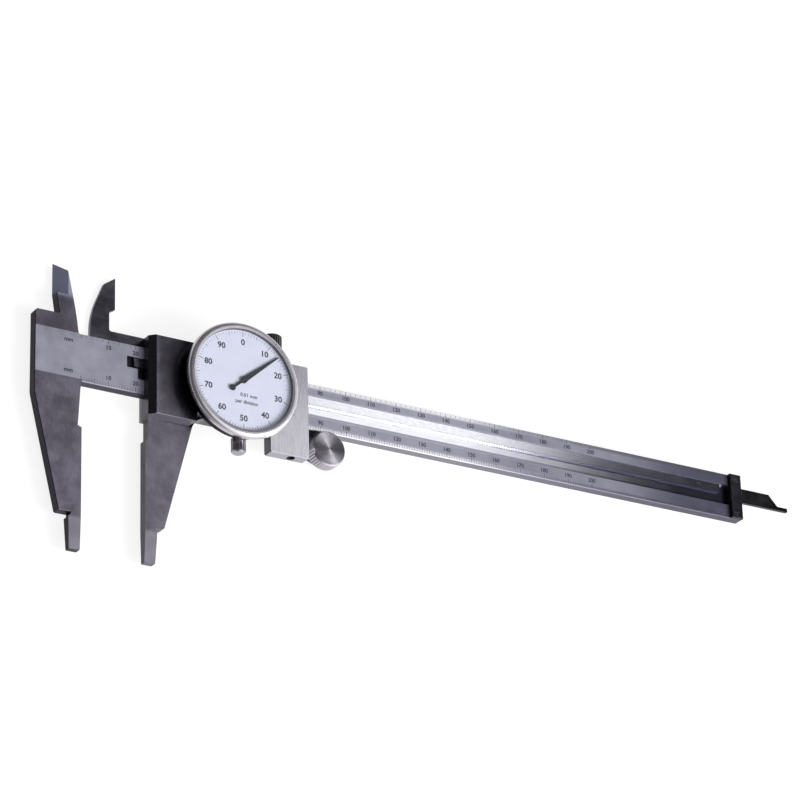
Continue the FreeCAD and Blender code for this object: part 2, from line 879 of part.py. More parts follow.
def window_solids(z0, z1):
    """The gear's kidney windows; the spring lies in the first of them."""
    points = [(window_inner_r, z0), (window_outer_r, z0), (window_outer_r, z1), (window_inner_r, z1)]
    return [turned(points, 0, 0, i * 360 / windows, window_sweep) for i in range(windows)]


def big_gear(z0, bore):
    body = gear(gear_teeth, gear_module, gear_backlash, 1, 180 / gear_teeth, z0, z0 + gear_thickness)
    past = z0 + 2 * gear_thickness
    return cut(body, window_solids(z0 - gear_thickness, past) + [rod(bore, 0, 0, z0 - gear_thickness, past)])


def main_gear_solid():
    low = movement_top + end_shake
    hub = rod(gear_hub_r, 0, 0, low, gears_top)
    body = fuse([big_gear(gear_z, arbor_r), hub])
    body = body.cut(rod(arbor_r + press_clear, 0, 0, low - 1, gears_top + 1))
    body.translate(V(arbor_x, dial_y, 0))
    return body


def anti_gear_solid():
    body = big_gear(anti_gear_z, gear_hub_r + pivot_clear)
    body.translate(V(arbor_x, dial_y, 0))
    return body


def spring_solid():
    middle = (window_inner_r + window_outer_r) / 2
    z = (gear_z + gears_top) / 2
    wire = Part.Wire(Part.makeCircle(spring_wire_r, V(middle, 0, z), V(0, 1, 0)))
    body = Part.Face(wire).revolve(V(0, 0, 0), UP, window_sweep)
    body.translate(V(arbor_x, dial_y, 0))
    return body


def centre_pinion_solid():
    low = gear_z - end_shake
    high = gears_top + end_shake
    pinion = gear(centre_teeth, gear_module, gear_backlash, 4, 180, low, high)
    tip = dial_top + pointer_lift + pointer_thickness
    staff = rod(pivot_r, 0, 0, case_base + end_shake, tip)
    body = fuse([pinion, staff])
    body.translate(V(0, dial_y, 0))
    return body


def pointer_solid():
    low = dial_top + pointer_lift
    high = low + pointer_thickness
    root = pointer_root_width / 2
    tip = pointer_tip_width / 2
    tail = pointer_tail_width / 2
    hand = plate([(-tail, -pointer_tail), (tail, -pointer_tail), (tail, -pointer_hub_r), (root, 0),
                  (tip, pointer_length, tip / 2), (-tip, pointer_length, tip / 2), (-root, 0),
                  (-tail, -pointer_hub_r)], low, high)
    blob = rod(pointer_tail_r, 0, pointer_tail_r - pointer_tail, low, high)
    hub = rod(pointer_hub_r, 0, 0, dial_top + pointer_hub_gap, high + pointer_cap)
    body = fuse([hand, blob, hub])
    body = body.cut(rod(pivot_r + press_clear, 0, 0, dial_top, high + press_clear))
    body.rotate(V(0, 0, 0), UP, -360 * (opening % lead_per_turn) / lead_per_turn)
    body.translate(V(0, dial_y, 0))
    return body


# Bezel with its dial, spacer and crystal
def bezel_solid():
    skirt = neck_r + bezel_gap
    return turned([
        (skirt, bezel_base),
        (bezel_r - bezel_chamfer, bezel_base),
        (bezel_r, bezel_base + bezel_chamfer),
        (bezel_r, bezel_top, bezel_round),
        (rim_r, bezel_top),
        (lip_r, lip_z + lip_edge),
        (lip_r, lip_z),
        (bezel_bore_r, lip_z),
        (bezel_bore_r, dial_z),
        (ledge_r, dial_z),
        (ledge_r, ledge_z),
        (skirt, ledge_z),
    ], 0, dial_y)


def disc(r, hole_r, z0, z1):
    return rod(r, 0, dial_y, z0, z1).cut(rod(hole_r, 0, dial_y, z0 - 1, z1 + 1))


nodes = {
    "beam_and_fixed_jaws": [beam_solid()],
    "rack": [rack_solid()],
    "rack_screws": placed(flat_screw(rack_screw), rack_screw_places(), rack_z + rack_thickness),
    "end_stop": [stop_solid()],
    "end_stop_screws": placed(flat_screw(stop_screw), stop_screw_places(), beam_front + stop_height),
    "slider_frame": [slider_solid()],
    "back_plate": [back_plate_solid()],
    "back_plate_screws": placed(flat_screw(back_screw), back_screw_places(), 0, down=True),
    "gib_strip": [gib_solid()],
    "gib_screws": gib_screw_solids(),
    "depth_rod": [depth_rod_solid()],
    "depth_rod_screws": placed(flat_screw(rod_screw), rod_screw_places(), 0, down=True),
    "lock_screw": [lock_screw_solid()],
    "roller_axle": [roller_axle_solid()],
    "thumb_roller": [roller_solid()],
    "dial_case": [case_solid()],
    "case_screws": placed(flat_screw(case_screw), case_screw_places(), movement_top),
    "bezel_clamp_screw": [clamp_screw_solid()],
    "movement_plate": [movement_plate_solid()],
    "bridge_pillars": pillar_solids(),
    "bridge_plate": [bridge_solid()],
    "bridge_screws": placed(flat_screw(bridge_screw), pillar_places(), bridge_top),
    "arbor_bush": [bush_solid()],
    "rack_pinion": [rack_pinion_solid()],
    "main_gear": [main_gear_solid()],
    "anti_backlash_gear": [anti_gear_solid()],
    "backlash_spring": [spring_solid()],
    "centre_pinion": [centre_pinion_solid()],
    "pointer": [pointer_solid()],
    "bezel_ring": [bezel_solid()],
    "dial_face": [disc(insert_r, dial_hole_r, dial_z, dial_top)],
    "spacer_ring": [disc(insert_r, insert_r - spacer_wall, dial_top, crystal_z)],
    "crystal": [rod(insert_r, 0, dial_y, crystal_z, lip_z)],
}

os.makedirs("parts", exist_ok=True)
for name, solids in nodes.items():
    shape = solids[0] if len(solids) == 1 else Part.makeCompound(solids)
    shape.exportStep("parts/" + name + ".step")
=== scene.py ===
import math
import bmesh
import bpy
from mathutils import Matrix, Vector


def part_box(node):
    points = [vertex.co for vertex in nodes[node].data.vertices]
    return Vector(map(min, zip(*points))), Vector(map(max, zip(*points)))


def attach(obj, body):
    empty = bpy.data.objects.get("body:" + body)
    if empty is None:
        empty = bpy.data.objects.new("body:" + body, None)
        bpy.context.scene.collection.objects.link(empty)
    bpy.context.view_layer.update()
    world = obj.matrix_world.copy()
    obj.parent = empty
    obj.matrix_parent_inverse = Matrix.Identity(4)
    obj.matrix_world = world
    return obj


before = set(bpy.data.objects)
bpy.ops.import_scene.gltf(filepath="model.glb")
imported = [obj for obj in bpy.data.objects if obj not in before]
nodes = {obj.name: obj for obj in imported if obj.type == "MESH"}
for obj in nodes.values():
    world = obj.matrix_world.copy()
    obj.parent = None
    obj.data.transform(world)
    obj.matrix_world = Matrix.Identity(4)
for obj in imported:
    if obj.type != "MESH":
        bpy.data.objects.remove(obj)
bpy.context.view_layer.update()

mm = 0.001
print("frame loaded,", len(nodes), "nodes")


# Places read from the frame
jawBack = 17.1 * mm                      # back of the fixed jaw to its measuring face
beamLow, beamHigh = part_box("beam_and_fixed_jaws")
faceLow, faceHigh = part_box("dial_face")
rollerLow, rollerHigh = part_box("thumb_roller")
fixedFace = beamLow.x + jawBack
beamFront = beamHigh.z
dialCentre = Vector(((faceLow.x + faceHigh.x) / 2, (faceLow.y + faceHigh.y) / 2, faceHigh.z))
rollerCentre = (rollerLow + rollerHigh) / 2


# Helpers for node trees
def newMaterial(name):
    material = bpy.data.materials.new(name)
    material.use_nodes = True
    tree = material.node_tree
    tree.nodes.clear()
    shader = tree.nodes.new("ShaderNodeBsdfPrincipled")
    output = tree.nodes.new("ShaderNodeOutputMaterial")
    tree.links.new(shader.outputs["BSDF"], output.inputs["Surface"])
    return material, tree, shader


def feed(tree, socket, value):
    if isinstance(value, bpy.types.NodeSocket):
        tree.links.new(value, socket)
    else:
        socket.default_value = value


def calculate(tree, operation, first, second=0.0):
    node = tree.nodes.new("ShaderNodeMath")
    node.operation = operation
    feed(tree, node.inputs[0], first)
    feed(tree, node.inputs[1], second)
    return node.outputs[0]


def times(tree, first, second):
    return calculate(tree, "MULTIPLY", first, second)


def ramp(tree, value, low, high, outLow=0.0, outHigh=1.0):
    node = tree.nodes.new("ShaderNodeMapRange")
    node.interpolation_type = "SMOOTHSTEP"
    feed(tree, node.inputs["Value"], value)
    node.inputs["From Min"].default_value = low
    node.inputs["From Max"].default_value = high
    node.inputs["To Min"].default_value = outLow
    node.inputs["To Max"].default_value = outHigh
    return node.outputs["Result"]


# A ramp between two places, given in millimetres from a base in metres
def fade(tree, value, span, outLow=0.0, outHigh=1.0, base=0.0):
    return ramp(tree, value, base + span[0] * mm, base + span[1] * mm, outLow, outHigh)


# One between two places and nought outside them, with soft edges
def strip(tree, value, span, blur, base=0.0):
    low, high = span
    rise = fade(tree, value, (low - blur, low + blur), 0.0, 1.0, base)
    fall = fade(tree, value, (high - blur, high + blur), 1.0, 0.0, base)
    return times(tree, rise, fall)


def objectPoint(tree):
    return tree.nodes.new("ShaderNodeTexCoord").outputs["Object"]


def pointParts(tree, point):
    node = tree.nodes.new("ShaderNodeSeparateXYZ")
    tree.links.new(point, node.inputs[0])
    return node.outputs["X"], node.outputs["Y"], node.outputs["Z"]


def distance(tree, x, y):
    squares = calculate(tree, "ADD", times(tree, x, x), times(tree, y, y))
    return calculate(tree, "SQRT", squares)


# How far a face turns to the left, to the lower edge, and away from level: masks for shade painted by the way a
# face turns
def sideFaces(tree):
    x, y, z = pointParts(tree, tree.nodes.new("ShaderNodeTexCoord").outputs["Normal"])
    steep = calculate(tree, "ABSOLUTE", z)
    left = times(tree, ramp(tree, x, -0.7, -0.3, 1.0, 0.0), ramp(tree, steep, 0.72, 0.78, 1.0, 0.0))
    lower = ramp(tree, y, -0.9, -0.5, 1.0, 0.0)
    side = ramp(tree, steep, 0.3, 0.6, 1.0, 0.0)
    return left, lower, side


def stretched(tree, point, scale, centre=(0, 0, 0)):
    node = tree.nodes.new("ShaderNodeMapping")
    tree.links.new(point, node.inputs["Vector"])
    node.inputs["Location"].default_value = [-c * s for c, s in zip(centre, scale)]
    node.inputs["Scale"].default_value = scale
    return node.outputs["Vector"]


def noise(tree, point, scale, detail, roughness):
    node = tree.nodes.new("ShaderNodeTexNoise")
    tree.links.new(point, node.inputs["Vector"])
    node.inputs["Scale"].default_value = scale
    node.inputs["Detail"].default_value = detail
    node.inputs["Roughness"].default_value = roughness
    return node.outputs["Fac"]


def mixColour(tree, factor, first, second):
    node = tree.nodes.new("ShaderNodeMix")
    node.data_type = "RGBA"
    feed(tree, node.inputs[0], factor)
    for socket, value in ((node.inputs[6], first), (node.inputs[7], second)):
        feed(tree, socket, value if isinstance(value, bpy.types.NodeSocket) else (*value, 1.0))
    return node.outputs[2]


# The second colour laid over the first where the mask is one, at the given share
def layOver(tree, mask, share, first, second):
    return mixColour(tree, times(tree, mask, share), first, second)


def dimmed(colour, share):
    return [part * share for part in colour]


def raiseBy(tree, shader, height, strength, depth):
    node = tree.nodes.new("ShaderNodeBump")
    node.inputs["Strength"].default_value = strength
    node.inputs["Distance"].default_value = depth
    tree.links.new(height, node.inputs["Height"])
    tree.links.new(node.outputs["Normal"], shader.inputs["Normal"])


grainRise = 0.02 * mm                    # height of a metal's grain at full strength


# Ground, milled and blackened metal: a grain in one direction over soft patches
def groundMetal(name, look):
    material, tree, shader = newMaterial(name)
    point = objectPoint(tree)
    x = pointParts(tree, point)[0]
    grain = noise(tree, stretched(tree, point, look["grainScale"]), 1.0, 4.0, 0.6)
    patches = noise(tree, point, look["patchScale"], 4.0, 0.6)
    tone = mixColour(tree, ramp(tree, patches, 0.3, 0.7), look["dark"], look["light"])
    lines = ramp(tree, grain, 0.35, 0.65, 1.0 - look["grainDepth"], 1.0)
    tone = mixColour(tree, lines, dimmed(look["dark"], 0.55), tone)
    for span in look.get("darkReflection", ()):      # painted dark reflection: along X, where it begins and where it is full
        tone = mixColour(tree, fade(tree, x, span, 0.0, 0.8), tone, look["darkReflectionTone"])
    if "wallShadeTone" in look:                    # painted shade on walls facing the lower edge, darker towards the far end
        lower = sideFaces(tree)[1]
        wall = times(tree, lower, fade(tree, x, look["wallFade"], 0.0, 0.97))
        tone = mixColour(tree, wall, tone, look["wallShadeTone"])
    tree.links.new(tone, shader.inputs["Base Color"])
    low, high = look["roughness"]
    rough = calculate(tree, "ADD", ramp(tree, patches, 0.3, 0.7, 0.0, (high - low) * 0.6),
                      ramp(tree, grain, 0.3, 0.7, low, low + (high - low) * 0.4))
    tree.links.new(rough, shader.inputs["Roughness"])
    shader.inputs["Metallic"].default_value = look.get("metal", 1.0)
    glance = look.get("glance", 1.0)
    shader.inputs["Specular Tint"].default_value = (glance, glance, glance, 1.0)
    raiseBy(tree, shader, grain, 0.15, grainRise)
    return material


# Metal turned in a lathe: fine rings about the piece's own axis along Z
def turnedMetal(name, look, centre):
    material, tree, shader = newMaterial(name)
    point = objectPoint(tree)
    x, y, z = pointParts(tree, stretched(tree, point, (1, 1, 1), centre))
    rings = tree.nodes.new("ShaderNodeTexNoise")
    rings.noise_dimensions = "1D"
    rings.inputs["Scale"].default_value = look["ringScale"]
    rings.inputs["Detail"].default_value = 3.0
    outwards = calculate(tree, "ADD", distance(tree, x, y), times(tree, z, 0.7))
    tree.links.new(outwards, rings.inputs["W"])
    patches = noise(tree, point, look["patchScale"], 3.0, 0.6)
    tone = mixColour(tree, ramp(tree, patches, 0.3, 0.7), look["dark"], look["light"])
    lines = ramp(tree, rings.outputs["Fac"], 0.35, 0.65, 1.0 - look["ringDepth"], 1.0)
    tone = mixColour(tree, lines, dimmed(look["dark"], 0.6), tone)
    tree.links.new(tone, shader.inputs["Base Color"])
    low, high = look["roughness"]
    tree.links.new(ramp(tree, patches, 0.3, 0.7, low, high), shader.inputs["Roughness"])
    shader.inputs["Metallic"].default_value = look.get("metal", 1.0)
    if "anisotropy" in look:                  # the rings spread a reflection along the radius
        tangent = tree.nodes.new("ShaderNodeTangent")
        tangent.direction_type = "RADIAL"
        tangent.axis = "Z"
        tree.links.new(tangent.outputs["Tangent"], shader.inputs["Tangent"])
        shader.inputs["Anisotropic"].default_value = look["anisotropy"]
        shader.inputs["Anisotropic Rotation"].default_value = 0.25
    height = times(tree, rings.outputs["Fac"], look.get("bump", 0.1) * grainRise)
    for part, fall in zip((x, y), look.get("lean", ())):    # slope of the face along X and Y
        height = calculate(tree, "SUBTRACT", height, times(tree, part, fall))
    raiseBy(tree, shader, height, 1.0, 1.0)
    return material


# The beam: a satin band along its front, darker ground jaws, a polished groove floor
beamLook = {
    "bandLight": (0.61, 0.602, 0.715),
    "bandDark": (0.52, 0.513, 0.612),
    "bandRoughness": 0.40,
    "jawLight": (0.27, 0.25, 0.31),
    "jawDark": (0.18, 0.165, 0.21),
    "jawRoughness": 0.42,
    "bladeTint": (0.36, 0.37, 0.52),
    "nibTint": (0.36, 0.34, 0.39),
    "landHighlightTone": (0.92, 0.91, 0.94),      # painted highlight along the outer edges of the rails
    "floorTone": (0.77, 0.773, 0.83),
    "floorRoughness": 0.17,
    "startShadeTone": (0.06, 0.057, 0.068),   # painted shade at the groove's start, and on the lower wall beside it
    # painted shade on walls, by the way they face
    "sideShadeTone": (0.12, 0.112, 0.14),
    # painted shade on walls facing the lower edge
    "lowerFaceShade": (0.30, 0.29, 0.33),
    # painted shade on faces turned to the left
    "leftFaceShade": (0.02, 0.019, 0.022),
    # also a painted dark reflection towards the far end, and painted shade in the groove's lower corner
    "farTone": (0.195, 0.193, 0.25),
    "endShadeTone": (0.10, 0.099, 0.15),      # painted shade on the rails and the groove beside the stop
    "glance": (0.55, 0.55, 0.58),        # dull at a glancing view
    "jawMetal": 0.82,
    "floorMetal": 1.0,
    "bladeMetal": 0.47,
}
beamPlaces = {                           # in millimetres
    "front": (-0.35, -0.1),              # from the beam's front along Z
    "deep": (-1.3, -1.1),
    "bandWidth": (-7.7, 8.6),            # along Y, as the next ones
    "beamWidth": (-8.7, 8.7),
    "groove": (-3.45, 4.3),
    "corner": (-2.1, -1.8),
    "highNumbers": (4.4, 6.8),
    "lowNumbers": (-6.8, -3.6),
    "highLand": (6.7, 7.6),
    "lowLand": (-7.7, -6.9),
    "shoulder": (7.0, 10.0),
    "neck": (18.8, 20.8),
    "blade": (19.5, 23.0),
    "nib": (-57.0, -55.5),
    "bandStart": (0.15, 0.35),           # along X from the beam's left end
    "neckReach": (-9.0, -6.4),           # along X from the fixed jaw's face
    "pastJaw": (-0.2, 0.2),
    "start": (26.0, 40.0),
    "far": (-125.0, -80.0),              # along X from the beam's right end
    "farEnd": (-55.0, -20.0),
    "numbers": (0.0, 125.0),             # along X
    "landHighlights": (0.0, 104.0),
    "shadedLands": (118.0, 160.0),
    "lowerWall": (-30.0, -14.0),
}


def beamSteel():
    look, at = beamLook, beamPlaces
    material, tree, shader = newMaterial("beam steel")
    point = objectPoint(tree)
    x, y, z = pointParts(tree, point)
    grain = noise(tree, stretched(tree, point, (90, 5200, 5200)), 1.0, 4.0, 0.65)
    jawGrain = noise(tree, stretched(tree, point, (1900, 420, 1900)), 1.0, 4.0, 0.6)
    patches = noise(tree, point, 150.0, 5.0, 0.62)
    blotches = noise(tree, stretched(tree, point, (260, 160, 260), (0.3, 0.2, 0.1)), 1.0, 3.0, 0.5)
    left, lower, side = sideFaces(tree)

    # Where each finish, painted shade, painted reflection and painted highlight lies
    band = times(tree, strip(tree, y, at["bandWidth"], 0.12), fade(tree, x, at["bandStart"], base=beamLow.x))
    band = times(tree, band, fade(tree, z, at["front"], base=beamFront))
    pastJaw = fade(tree, x, at["pastJaw"], base=fixedFace)
    onBeam = calculate(tree, "MAXIMUM", band, times(tree, strip(tree, y, at["beamWidth"], 0.1), pastJaw))
    deep = fade(tree, z, at["deep"], 1.0, 0.0, beamFront)
    onFloor = times(tree, times(tree, strip(tree, y, at["groove"], 0.05), deep), pastJaw)
    blade = fade(tree, y, at["blade"])
    nib = fade(tree, y, at["nib"], 1.0, 0.0)
    neck = times(tree, strip(tree, y, at["neck"], 0.8), strip(tree, x, at["neckReach"], 0.8, fixedFace))
    start = fade(tree, x, at["start"], 1.0, 0.0, fixedFace)
    far = fade(tree, x, at["far"], base=beamHigh.x)
    farEnd = fade(tree, x, at["farEnd"], base=beamHigh.x)
    numbers = calculate(tree, "MAXIMUM", strip(tree, y, at["highNumbers"], 0.4),
                        strip(tree, y, at["lowNumbers"], 0.4))
    numbers = times(tree, numbers, strip(tree, x, at["numbers"], 10.0))
    lands = calculate(tree, "MAXIMUM", fade(tree, y, at["highLand"]), fade(tree, y, at["lowLand"], 1.0, 0.0))
    # painted highlight along the rails' outer edges
    landHighlights = times(tree, lands, strip(tree, x, at["landHighlights"], 18.0))
    # painted shade on the rails' outer edges towards the far end
    shadedLands = times(tree, lands, fade(tree, x, at["shadedLands"]))

    jawTone = mixColour(tree, ramp(tree, patches, 0.32, 0.68), look["jawDark"], look["jawLight"])
    jawTone = mixColour(tree, ramp(tree, jawGrain, 0.35, 0.7, 0.25, 0.0), jawTone, dimmed(look["jawDark"], 0.5))
    jawTone = mixColour(tree, fade(tree, y, at["shoulder"], 0.0, 0.4), jawTone, dimmed(look["jawDark"], 0.6))
    jawTone = mixColour(tree, blade, jawTone, look["bladeTint"])
    jawTone = layOver(tree, nib, 0.7, jawTone, look["nibTint"])
    jawTone = layOver(tree, neck, 0.6, jawTone, look["sideShadeTone"])

    bandTone = mixColour(tree, ramp(tree, blotches, 0.3, 0.7), look["bandDark"], look["bandLight"])
    bandTone = mixColour(tree, ramp(tree, grain, 0.3, 0.7, 0.3, 0.0), bandTone, dimmed(look["bandDark"], 0.6))
    bandTone = layOver(tree, numbers, 0.42, bandTone, look["farTone"])
    # painted highlight on the rails' outer edges
    bandTone = mixColour(tree, landHighlights, bandTone, look["landHighlightTone"])
    # painted shade beside the stop
    bandTone = layOver(tree, farEnd, 0.95, bandTone, look["endShadeTone"])

    # painted shade on the lower wall beside the groove's start
    lowerFaceShade = mixColour(tree, fade(tree, x, at["lowerWall"]), look["startShadeTone"], look["lowerFaceShade"])
    tone = mixColour(tree, onBeam, jawTone, bandTone)
    # painted shade on walls, on walls facing the lower edge and on faces turned to the left
    tone = layOver(tree, side, 0.8, tone, look["sideShadeTone"])
    tone = layOver(tree, lower, 0.85, tone, lowerFaceShade)
    tone = layOver(tree, left, 0.9, tone, look["leftFaceShade"])

    floorTone = mixColour(tree, ramp(tree, grain, 0.3, 0.7), look["floorTone"], dimmed(look["floorTone"], 0.88))
    # painted shade at the groove's start
    floorTone = mixColour(tree, start, floorTone, look["startShadeTone"])
    # painted shade along the groove's lower corner
    floorTone = layOver(tree, fade(tree, y, at["corner"], 1.0, 0.0), 0.85, floorTone, look["farTone"])
    tone = mixColour(tree, onFloor, tone, floorTone)
    # painted dark reflection towards the far end
    tone = layOver(tree, far, 0.55, tone, look["farTone"])
    # painted shade beside the stop
    tone = layOver(tree, farEnd, 0.55, tone, look["endShadeTone"])
    # painted shade on the rails' outer edges towards the far end
    tone = layOver(tree, shadedLands, 0.6, tone, look["sideShadeTone"])
    tree.links.new(tone, shader.inputs["Base Color"])

    rough = calculate(tree, "ADD", ramp(tree, patches, 0.3, 0.7, -0.05, 0.06),
                      ramp(tree, onBeam, 0.0, 1.0, look["jawRoughness"], look["bandRoughness"]))
    polished = times(tree, onFloor, calculate(tree, "SUBTRACT", 1.0, start))
    polish = look["floorRoughness"] / look["bandRoughness"]
    tree.links.new(times(tree, rough, ramp(tree, polished, 0.0, 1.0, 1.0, polish)), shader.inputs["Roughness"])
    metal = calculate(tree, "SUBTRACT", ramp(tree, onFloor, 0.0, 1.0, look["jawMetal"], look["floorMetal"]),
                      times(tree, blade, look["jawMetal"] - look["bladeMetal"]))
    tree.links.new(metal, shader.inputs["Metallic"])
    shader.inputs["Specular Tint"].default_value = (*look["glance"], 1.0)
    offBeam = calculate(tree, "SUBTRACT", 1.0, onBeam)
    height = calculate(tree, "ADD", times(tree, grain, onBeam), times(tree, jawGrain, offBeam))
    raiseBy(tree, shader, height, 0.12, grainRise)
    return material


# Slider frame: ground foot, darker jaw, the block left of the dial darker as a painted dark reflection, the
# sides darker as painted shade
sliderLook = {
    "footLight": (0.60, 0.59, 0.635),
    "footDark": (0.52, 0.51, 0.555),
    "footRoughness": 0.24,
    # the block left of the dial darker: painted dark reflection
    "blockReflectionLight": (0.24, 0.225, 0.27),
    "blockReflectionDark": (0.16, 0.15, 0.18),
    "wornEdge": (0.36, 0.345, 0.40),
    "jawLight": (0.26, 0.245, 0.30),
    "jawDark": (0.17, 0.16, 0.20),
    "jawRoughness": 0.42,
    "nibTint": (0.36, 0.34, 0.39),
    # painted shade on walls, by the way they face
    "sideShadeTone": (0.12, 0.112, 0.14),
    # painted shade on walls facing the lower edge, darkest under the case
    "lowerFaceShade": (0.34, 0.325, 0.37),
    "lowerShadeUnderCase": (0.11, 0.103, 0.125),
    # painted shade on faces turned to the left
    "leftFaceShade": (0.060, 0.055, 0.066),
    "paintedShadeTone": (0.014, 0.013, 0.016),  # painted shade round the dial, and along the inside jaw's arm
    "footMetal": 0.92,
    "jawMetal": 0.82,
}
sliderPlaces = {                         # in millimetres
    "jawTop": (-17.2, -16.4),            # along Y
    "foot": (-12.0, 12.0),
    "arm": (8.0, 12.6),
    "aboveArm": (12.6, 16.0),
    "nib": (-57.0, -55.5),
    "jawSide": (0.0, 4.0),               # along X
    "block": (2.0, 8.0),
    "edge": (-30.6, -28.6),
    "armEnd": (-33.0, -32.0),
    "dialShade": (20.5, 30.0),               # painted shade, from the dial's centre
}


def sliderSteel():
    look, at = sliderLook, sliderPlaces
    material, tree, shader = newMaterial("slider steel")
    point = objectPoint(tree)
    x, y, z = pointParts(tree, point)
    grain = noise(tree, stretched(tree, point, (2600, 260, 2600)), 1.0, 4.0, 0.65)
    patches = noise(tree, point, 160.0, 5.0, 0.62)
    soft = ramp(tree, patches, 0.3, 0.7)
    left, lower, side = sideFaces(tree)

    # Where each finish, painted shade and painted reflection lies
    jaw = times(tree, fade(tree, y, at["jawTop"], 1.0, 0.0), fade(tree, x, at["jawSide"], 1.0, 0.0))
    nib = fade(tree, y, at["nib"], 1.0, 0.0)
    block = fade(tree, x, at["block"], 1.0, 0.0)
    edge = strip(tree, x, at["edge"], 1.2)
    arm = times(tree, strip(tree, y, at["arm"], 0.6), fade(tree, x, at["armEnd"], 1.0, 0.0))
    fromDial = distance(tree, x, calculate(tree, "SUBTRACT", y, dialCentre.y))

    footTone = mixColour(tree, soft, look["footDark"], look["footLight"])
    footTone = mixColour(tree, fade(tree, y, at["foot"], 0.0, 0.6), footTone, look["nibTint"])
    # painted dark reflection on the block left of the dial
    blockTone = mixColour(tree, soft, look["blockReflectionDark"], look["blockReflectionLight"])
    blockTone = layOver(tree, edge, 0.55, blockTone, look["wornEdge"])
    # painted shade along the inside jaw's arm and round the dial
    blockTone = mixColour(tree, arm, blockTone, look["paintedShadeTone"])
    blockTone = mixColour(tree, fade(tree, fromDial, at["dialShade"], 0.93, 0.0), blockTone, look["paintedShadeTone"])
    blockTone = mixColour(tree, fade(tree, y, at["aboveArm"], 0.0, 0.5), blockTone, look["nibTint"])
    jawTone = mixColour(tree, soft, look["jawDark"], look["jawLight"])
    jawTone = layOver(tree, nib, 0.7, jawTone, look["nibTint"])
    tone = mixColour(tree, jaw, mixColour(tree, block, footTone, blockTone), jawTone)
    tone = mixColour(tree, ramp(tree, grain, 0.3, 0.7, 0.2, 0.0), tone, dimmed(look["jawDark"], 0.6))
    # painted shade on walls by the way they face, darkest under the case and on faces turned to the left
    tone = layOver(tree, side, 0.8, tone, look["sideShadeTone"])
    tone = layOver(tree, lower, 0.9, tone, mixColour(tree, block, look["lowerFaceShade"], look["lowerShadeUnderCase"]))
    tone = layOver(tree, left, 0.95, tone, look["leftFaceShade"])
    tree.links.new(tone, shader.inputs["Base Color"])

    rough = calculate(tree, "ADD", ramp(tree, patches, 0.3, 0.7, -0.04, 0.05),
                      ramp(tree, jaw, 0.0, 1.0, look["footRoughness"], look["jawRoughness"]))
    tree.links.new(rough, shader.inputs["Roughness"])
    metal = times(tree, ramp(tree, jaw, 0.0, 1.0, look["footMetal"], look["jawMetal"]),
                  ramp(tree, lower, 0.0, 1.0, 1.0, 0.4))
    tree.links.new(metal, shader.inputs["Metallic"])
    raiseBy(tree, shader, grain, 0.08, grainRise)
    return material


# Printed, lacquered and clear parts
dialLook = {
    "paper": (0.74, 0.765, 0.90),
    "shade": (0.71, 0.735, 0.87),
    "roughness": (0.42, 0.50),
}
pointerLook = {
    "light": (0.018, 0.017, 0.020),
    "dark": (0.008, 0.008, 0.010),
    "roughness": (0.42, 0.56),
    "gloss": 0.25,
}
glassLook = {
    "tint": (0.40, 0.43, 0.47),
    "roughness": (0.02, 0.06),
    "alpha": 0.04,
    "index": 1.5,
}


def dialLacquer():
    look = dialLook
    material, tree, shader = newMaterial("dial lacquer")
    point = objectPoint(tree)
    cloud = noise(tree, point, 210.0, 4.0, 0.6)
    tree.links.new(mixColour(tree, ramp(tree, cloud, 0.3, 0.7), look["shade"], look["paper"]),
                   shader.inputs["Base Color"])
    tree.links.new(ramp(tree, cloud, 0.3, 0.7, *look["roughness"]), shader.inputs["Roughness"])
    raiseBy(tree, shader, noise(tree, point, 9000.0, 2.0, 0.5), 0.05, 0.01 * mm)
    return material


def printInk(name, look):
    material, tree, shader = newMaterial(name)
    worn = noise(tree, objectPoint(tree), 2400.0, 3.0, 0.6)
    tone = mixColour(tree, ramp(tree, worn, 0.55, 0.8), look["ink"], [part + 0.12 for part in look["ink"]])
    tree.links.new(tone, shader.inputs["Base Color"])
    tree.links.new(ramp(tree, worn, 0.3, 0.7, *look["inkRoughness"]), shader.inputs["Roughness"])
    return material


def pointerLacquer():
    look = pointerLook
    material, tree, shader = newMaterial("pointer lacquer")
    flakes = noise(tree, objectPoint(tree), 3000.0, 3.0, 0.6)
    tree.links.new(mixColour(tree, ramp(tree, flakes, 0.3, 0.7), look["dark"], look["light"]),
                   shader.inputs["Base Color"])
    tree.links.new(ramp(tree, flakes, 0.3, 0.7, *look["roughness"]), shader.inputs["Roughness"])
    shader.inputs["Specular IOR Level"].default_value = look["gloss"]
    return material


def watchGlass():
    look = glassLook
    material, tree, shader = newMaterial("watch glass")
    smear = noise(tree, objectPoint(tree), 120.0, 3.0, 0.6)
    tree.links.new(ramp(tree, smear, 0.3, 0.7, *look["roughness"]), shader.inputs["Roughness"])
    shader.inputs["Base Color"].default_value = (*look["tint"], 1.0)
    shader.inputs["Alpha"].default_value = look["alpha"]
    shader.inputs["IOR"].default_value = look["index"]
    return material


